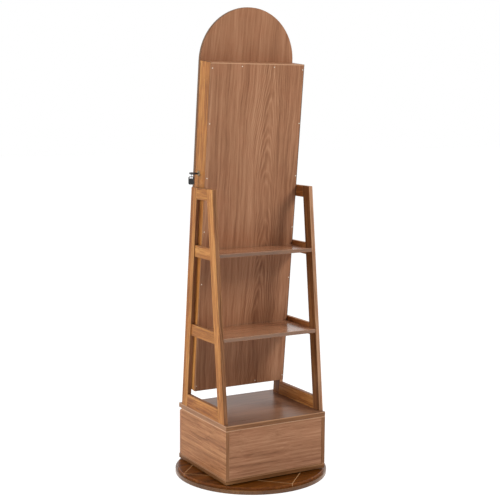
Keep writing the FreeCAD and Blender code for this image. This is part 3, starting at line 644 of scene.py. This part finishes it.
wooden = {
    "case_back_panel": panel_look(case_up, 0.0, face_way=case_out, side_tones=back_edge_tones,
                                  arches=0.5, arches_x=-0.03, contrast=1.15, edge_light=0.1,
                                  lines=case_lines),
    "door_panel": panel_look(case_up, 0.37, face_way=case_out, side_tones=door_edge_tones,
                             contrast=0.85, edge_light=0.0),
    "case_side_left": frame_look(case_up, 0.11, solid=False, far_tones=None),
    "case_side_right": frame_look(case_up, 0.23, solid=False, far_tones=None),
    "case_top": panel_look(along_x, 0.31),
    "case_bottom": panel_look(along_x, 0.43),
    "inner_shelves": panel_look(along_x, 0.53),
    "hook_rail": panel_look(along_x, 0.59),
    "earring_panel": panel_look(case_up, 0.61),
    "cabinet_top": dict(grain=along_x, tones=top_face_shade_tones, face_way=along_z,
                        side_tones=top_band_tones, band_way=along_y, shift=0.71, rough=0.3,
                        shine=0.2, edge_light=0.3, lines=top_lines),
    "cabinet_bottom": dict(grain=along_x, tones=bottom_board_shade_tones, band_way=along_y, shift=0.83,
                           lines=floor_lines),
    "cabinet_back": panel_look(along_x, 0.91, contrast=1.2, edge_light=0.4, lines=joint_lines),
    "cabinet_sides": dict(grain=along_y, tones=cabinet_tones, face_way=along_x,
                          side_tones=band_tones, band_way=along_z, arches=0.5, arches_x=0.10,
                          contrast=1.4, blush=0.3, lines=joint_lines),
    "drawer_front": panel_look(along_x, 1.07, arches=0.4, arches_x=0.12),
    "foot_rails": frame_look(along_y, 0.17, tones=painted_light_frame_tones, far_tones=None),
    "middle_rails": frame_look(along_y, 0.29, far_tones=head_tones),
    "head_rails": frame_look(along_y, 0.41, far_tones=head_tones),
    "upper_shelf": shelf_look(0.47),
    "lower_shelf": shelf_look(0.67),
    "front_leg_left": frame_look(leg_direction("front_leg_left", 1), 0.13),
    "front_leg_right": frame_look(leg_direction("front_leg_right", 1), 0.19),
    "back_leg_left": frame_look(leg_direction("back_leg_left", -1), 0.27),
    "back_leg_right": frame_look(leg_direction("back_leg_right", -1), 0.33,
                                 tones=painted_light_frame_tones),
    "veneered_disc": dict(grain=along_x, tones=disc_tones, face_way=along_z,
                          side_tones=rim_tones, shift=0.05, rough=0.3, shine=0.12,
                          contrast=1.2, edge_light=0.06),
    "plinth": dict(grain=along_x, tones=plinth_tones, shift=0.15, rough=0.28, shine=0.42),
    "disc_inlay": plain_look(along_x, inlay_tones, 0.25),
    "frame_dowels": plain_look(along_z, beech_tones, 0.35),
    "shelf_dowels": plain_look(along_x, beech_tones, 0.45),
    "drawer_back": plain_look(along_x, ply_tones, 0.55),
    "drawer_bottom": plain_look(along_x, ply_tones, 0.65),
    "drawer_sides": plain_look(along_y, ply_tones, 0.75),
}
steel = metal("zinc_plate", srgb(176, 178, 182), roughness=0.3, streak=along_y, brushed=0.4)
nickel = metal("aged_nickel", srgb(150, 128, 100), roughness=0.32)
satin = metal("satin_nickel", srgb(150, 146, 140), roughness=0.34, streak=along_z, brushed=0.3)
nail_steel = metal("nail_heads", srgb(240, 226, 206), roughness=0.4)
brass = metal("polished_brass", srgb(214, 176, 104), roughness=0.16, streak=along_x, brushed=0.2)
black_plastic = moulded("black_plastic", srgb(26, 26, 27), roughness=0.4, variation=0.05)
rubber = moulded("pad_rubber", srgb(34, 33, 32), roughness=0.8, variation=0.1)
nylon = moulded("cage_nylon", srgb(226, 222, 210), roughness=0.5, variation=0.08)
lining_velvet = velvet("lining_velvet", srgb(40, 37, 38), srgb(74, 68, 70), srgb(8, 8, 9))
roll_velvet = velvet("roll_velvet", srgb(96, 86, 89), srgb(132, 120, 123), srgb(26, 23, 24))
finishes = {
    "floor_pads": rubber, "bearing_cage": nylon, "case_lining": lining_velvet,
    "ring_rolls": roll_velvet, "mirror": mirror_glass(),
    "key_bow": black_plastic, "spare_key_bow": black_plastic,
    "guard_rails": brass, "necklace_hooks": brass,
    "hinge_case_leaves": satin, "hinge_door_leaves": satin,
    "lock_barrel": nickel, "lock_plug": nickel,
}
for node in ("bearing_lower_race", "bearing_upper_race", "lower_race_screws",
             "upper_race_screws", "bearing_balls", "cabinet_runners", "drawer_runners",
             "case_bolts", "hinge_pins", "door_strike", "lock_nut", "lock_cam", "key_blade",
             "spare_key_blade", "key_ring"):
    finishes[node] = steel
for node, look in wooden.items():
    finishes[node] = wood(node + "_wood", **look)
for node, piece in frame["nodes"].items():
    piece.data.materials.clear()
    piece.data.materials.append(finishes[node])


def rounded(node, width):
    """Rolls over a CAD piece's sharp edges, as moulding leaves them."""
    bevel = frame["nodes"][node].modifiers.new("rounded_edges", "BEVEL")
    bevel.width = width
    bevel.segments = rounding_segments
    bevel.angle_limit = math.radians(rounding_angle_deg)
    bevel.harden_normals = True


rounded("key_bow", bow_rounding)
rounded("spare_key_bow", bow_rounding)
rounded("necklace_hooks", hook_rounding)


# Pieces that the solids leave out

def placed(name, data):
    """Object that holds a mesh, a lamp or a camera."""
    made = bpy.data.objects.new(name, data)
    scene.collection.objects.link(made)
    return made


def from_mesh(name, mesh, material):
    """Object made from a bmesh, with its material."""
    data = bpy.data.meshes.new(name)
    mesh.to_mesh(data)
    mesh.free()
    data.materials.append(material)
    return placed(name, data)


def piece_from(name, mesh, body, material):
    """Smooth piece made from a bmesh, riding on a body."""
    made = from_mesh(name, mesh, material)
    made.data.shade_smooth()
    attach(made, body)
    return made


def angles(sides):
    """Even steps round a circle."""
    return [2 * math.pi * k / sides for k in range(sides)]


def spread(first, last, spacing):
    """Even steps between two places, as near to the asked spacing as they fit."""
    count = max(1, round((last - first) / spacing))
    return [first + (last - first) * i / count for i in range(count + 1)]


def skin(mesh, loops):
    """Faces between each loop of points and the next."""
    for low, high in loops:
        sides = len(low)
        for k in range(sides):
            mesh.faces.new((low[k], high[k], high[(k + 1) % sides], low[(k + 1) % sides]))


def add_dome(mesh, centre, out, radius, rise, rings=4, sides=12):
    """Low dome on a surface, from its rim to its crown."""
    across, up = perpendicular(out)
    loops = []
    for i in range(rings):
        angle = math.pi / 2 * i / rings
        reach, lift = radius * math.cos(angle), rise * math.sin(angle)
        loops.append([mesh.verts.new(centre + out * lift
                                     + (across * math.cos(t) + up * math.sin(t)) * reach)
                      for t in angles(sides)])
    for low, high in zip(loops, loops[1:]):
        for k in range(sides):
            mesh.faces.new((low[k], low[(k + 1) % sides], high[(k + 1) % sides], high[k]))
    crown = mesh.verts.new(centre + out * rise)
    for k in range(sides):
        mesh.faces.new((loops[-1][k], loops[-1][(k + 1) % sides], crown))


def back_nails():
    """Bright nail heads round the edge of the case's back."""
    mesh = bmesh.new()
    x = case_width / 2 - nail_inset
    z0, z1 = nail_corner_inset, case_height - nail_corner_inset
    spots = [(s * x, z) for s in (-1, 1) for z in spread(z0, z1, nail_spacing)]
    z0, z1 = nail_row_inset, case_height - nail_row_inset
    spots += [(i, z) for z in (z0, z1) for i in nail_row_x]
    for i, z in spots:
        add_dome(mesh, in_case(i, 0, z), case_out, nail_radius, nail_rise)
    piece_from("back_nails", mesh, "stand", nail_steel)


def add_tube(mesh, points, axis, radius, sides=10, closed=False):
    """Round tube along points that lie about flat across an axis."""
    loops = []
    count = len(points)
    for i, point in enumerate(points):
        ahead = points[(i + 1) % count] if closed else points[min(i + 1, count - 1)]
        behind = points[i - 1] if closed else points[max(i - 1, 0)]
        out = (ahead - behind).cross(axis).normalized()
        up = axis.normalized()
        loops.append([mesh.verts.new(point + (out * math.cos(t) + up * math.sin(t)) * radius)
                      for t in angles(sides)])
    pairs = list(zip(loops, loops[1:]))
    if closed:
        pairs.append((loops[-1], loops[0]))
    else:
        mesh.faces.new(loops[0])
        mesh.faces.new(loops[-1][::-1])
    skin(mesh, pairs)


def split_ring():
    """Spring ring of two turns of round wire that the keys hang on."""
    low, high = [Vector(c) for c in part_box("key_ring")]
    centre = (low + high) / 2
    spare = next(j for j in frame["joints"] if j["name"] == "spare_key_swing")
    axis = Vector(spare["axis"]).normalized()
    across = axis.cross(along_z).normalized()
    points = []
    for i in range(ring_turns * ring_steps + 1):
        share = i / (ring_turns * ring_steps)
        angle = 2 * math.pi * ring_turns * share
        points.append(centre + axis * ring_wire * (2 * share - 1)
                      + (across * math.cos(angle) + along_z * math.sin(angle)) * ring_radius)
    mesh = bmesh.new()
    add_tube(mesh, points, axis, ring_wire)
    ring = piece_from("split_ring", mesh, "spare_key", steel)
    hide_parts("key_ring")


def hinge_screws(name, y, out, body):
    """Countersunk heads in one side's hinge leaves."""
    mesh = bmesh.new()
    for height in (hinge_inset, case_height / 2, case_height - hinge_inset):
        for step in (-1, 0, 1):
            spot = in_case(hinge_screw_x, y, height + step * hinge_screw_pitch)
            add_dome(mesh, spot, out, hinge_screw_radius, hinge_screw_rise, rings=3, sides=16)
    piece_from(name, mesh, body, steel)


def roll_point(middle_z, x, angle, radius):
    """Point on a roll, which is flat where it meets the lining."""
    y = roll_back_y - roll_radius + radius * math.cos(angle)
    return in_case(x, min(y, roll_back_y), middle_z + radius * math.sin(angle))


def roll_mesh(middle_z, phase):
    """Closed roll with rounded ends and gathers that fade along it."""
    mesh = bmesh.new()
    loops = []
    for i in range(roll_lengths + 1):
        x = roll_half * (2 * i / roll_lengths - 1)
        from_end = roll_half - abs(x)
        full = math.sin(math.pi / 2 * min(1.0, from_end / roll_round))
        gather = gather_depth * math.exp(-from_end / gather_reach)
        loop = []
        for angle in angles(roll_sides):
            radius = (roll_start * (roll_end_share + roll_end_growth * full)
                      + gather * math.cos(gather_count * angle + phase))
            radius += wave_depth * noise.noise(Vector((x * wave_along, angle * wave_around,
                                                       phase)))
            loop.append(mesh.verts.new(roll_point(middle_z, x, angle, radius)))
        loops.append(loop)
    skin(mesh, zip(loops, loops[1:]))
    for loop, side in ((loops[0], -1), (loops[-1], 1)):
        crown = mesh.verts.new(in_case(side * (roll_half + roll_round / crown_share),
                                       roll_back_y - roll_radius, middle_z))
        for k in range(roll_sides):
            corners = (loop[k], loop[(k + 1) % roll_sides], crown)
            mesh.faces.new(corners if side < 0 else corners[::-1])
    return mesh


def puff(piece):
    """Cloth under pressure for a few frames, each point kept within a cap of its start."""
    data = piece.data
    start = [v.co.copy() for v in data.vertices]
    back = piece.vertex_groups.new(name="glued_back")
    wall = in_case(0, roll_back_y, 0)
    glued = [v.index for v in data.vertices if (v.co - wall).dot(case_out) > -puff_glue]
    back.add(glued, 1.0, "REPLACE")
    cloth = piece.modifiers.new("puff", "CLOTH")
    cloth.settings.vertex_group_mass = "glued_back"
    cloth.settings.use_pressure = True
    cloth.settings.uniform_pressure_force = puff_pressure
    cloth.settings.mass = puff_mass
    cloth.settings.quality = puff_quality
    cloth.settings.effector_weights.gravity = 0.0
    for frame_number in range(1, puff_frames + 1):
        scene.frame_set(frame_number)
    graph = bpy.context.evaluated_depsgraph_get()
    swollen = [v.co.copy() for v in piece.evaluated_get(graph).data.vertices]
    piece.modifiers.remove(cloth)
    piece.vertex_groups.remove(back)
    scene.frame_set(1)
    for vertex, old, new in zip(data.vertices, start, swollen):
        move = new - old
        if move.length > puff_cap:
            move *= puff_cap / move.length
        moved = old + move
        past_wall = (moved - wall).dot(case_out)
        vertex.co = moved - case_out * max(0.0, past_wall)


def ring_rolls():
    """Stuffed velvet rolls that hold rings between them, each with piped ends."""
    for i in range(roll_count):
        middle_z = roll_first_z + i * roll_pitch
        roll = piece_from(f"ring_roll_{i + 1}", roll_mesh(middle_z, gather_turn * i), "stand",
                          roll_velvet)
        puff(roll)
        finer = roll.modifiers.new("finer", "SUBSURF")
        finer.levels = finer.render_levels = 1
        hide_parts("ring_rolls")
        for side, end in ((-1, "left"), (1, "right")):
            x = side * (roll_half - roll_round / 2)
            rim = [roll_point(middle_z, x, angle, roll_radius - piping_radius)
                   for angle in angles(piping_steps)]
            mesh = bmesh.new()
            add_tube(mesh, rim, along_x, piping_radius, sides=8, closed=True)
            piece_from(f"ring_roll_{i + 1}_piping_{end}", mesh, "stand",
                       roll_velvet)


back_nails()
split_ring()
hinge_screws("hinge_screws_case", -case_depth - hinge_leaf, -case_out, "stand")
hinge_screws("hinge_screws_door", -case_depth - door_gap + hinge_leaf, case_out, "door")
ring_rolls()


# Floor, light and camera

def stage_floor():
    """Floor that is white where it is seen, and keeps the object's shadow."""
    half = floor_size / 2
    n = Look("floor_white")
    n.finish(Base_Color=floor_tone, Roughness=floor_rough)
    glow = n.node("ShaderNodeEmission", Color=(1, 1, 1, 1), Strength=floor_white)
    n.blend(n.math("MULTIPLY", n.seen(), floor_glow), n.shader.outputs[0], glow.outputs[0],
            "Material Output")
    mesh = bmesh.new()
    mesh.faces.new([mesh.verts.new((x, y, 0)) for x, y in ((-half, -half), (half, -half),
                                                           (half, half), (-half, half))])
    floor = from_mesh("floor", mesh, n.material)


def sky():
    """White where it is seen or mirrored, and a soft even light otherwise."""
    world = bpy.data.worlds.new("studio")
    scene.world = world
    world.use_nodes = True
    n = Nodes(world.node_tree)
    plain = n.tree.nodes["Background"]
    n.put(plain.inputs["Color"], (1, 1, 1, 1))
    n.put(plain.inputs["Strength"], sky_light)
    white = n.node("ShaderNodeBackground", Color=(1, 1, 1, 1), Strength=sky_white)
    n.blend(n.seen(), plain.outputs[0], white.outputs[0], "World Output")


def soft_box(name, place, size, power, mirrored):
    """Square lamp that faces the object. One that isn't mirrored leaves no pane in the glass."""
    data = bpy.data.lights.new(name, "AREA")
    data.size = size
    data.energy = power
    lamp = placed(name, data)
    lamp.visible_glossy = mirrored
    lamp.location = place
    lamp.rotation_euler = (lamps_aim - place).to_track_quat("-Z", "Y").to_euler()


def camera():
    """Camera where the photograph was taken from."""
    heading = math.radians(camera_heading_deg)
    dip = math.radians(camera_dip_deg)
    roll = math.radians(camera_roll_deg)
    look = Vector((-math.sin(heading) * math.cos(dip), math.cos(heading) * math.cos(dip),
                   -math.sin(dip)))
    right = Vector((math.cos(heading), math.sin(heading), 0))
    up = right.cross(look)
    rolled_right = right * math.cos(roll) + up * math.sin(roll)
    rolled_up = up * math.cos(roll) - right * math.sin(roll)
    data = bpy.data.cameras.new("camera")
    data.lens = camera_lens_mm
    data.sensor_width = camera_sensor_mm
    data.clip_end = camera_reach
    made = placed("camera", data)
    turn = Matrix((rolled_right, rolled_up, -look)).transposed().to_4x4()
    made.matrix_world = Matrix.Translation(camera_place) @ turn
    scene.camera = made


stage_floor()
sky()
soft_box("key_lamp", key_place, key_size, key_power, True)
soft_box("back_lamp", back_place, back_size, back_power, False)
soft_box("front_lamp", front_place, front_size, front_power, False)
camera()
scene.view_settings.view_transform = "Standard"
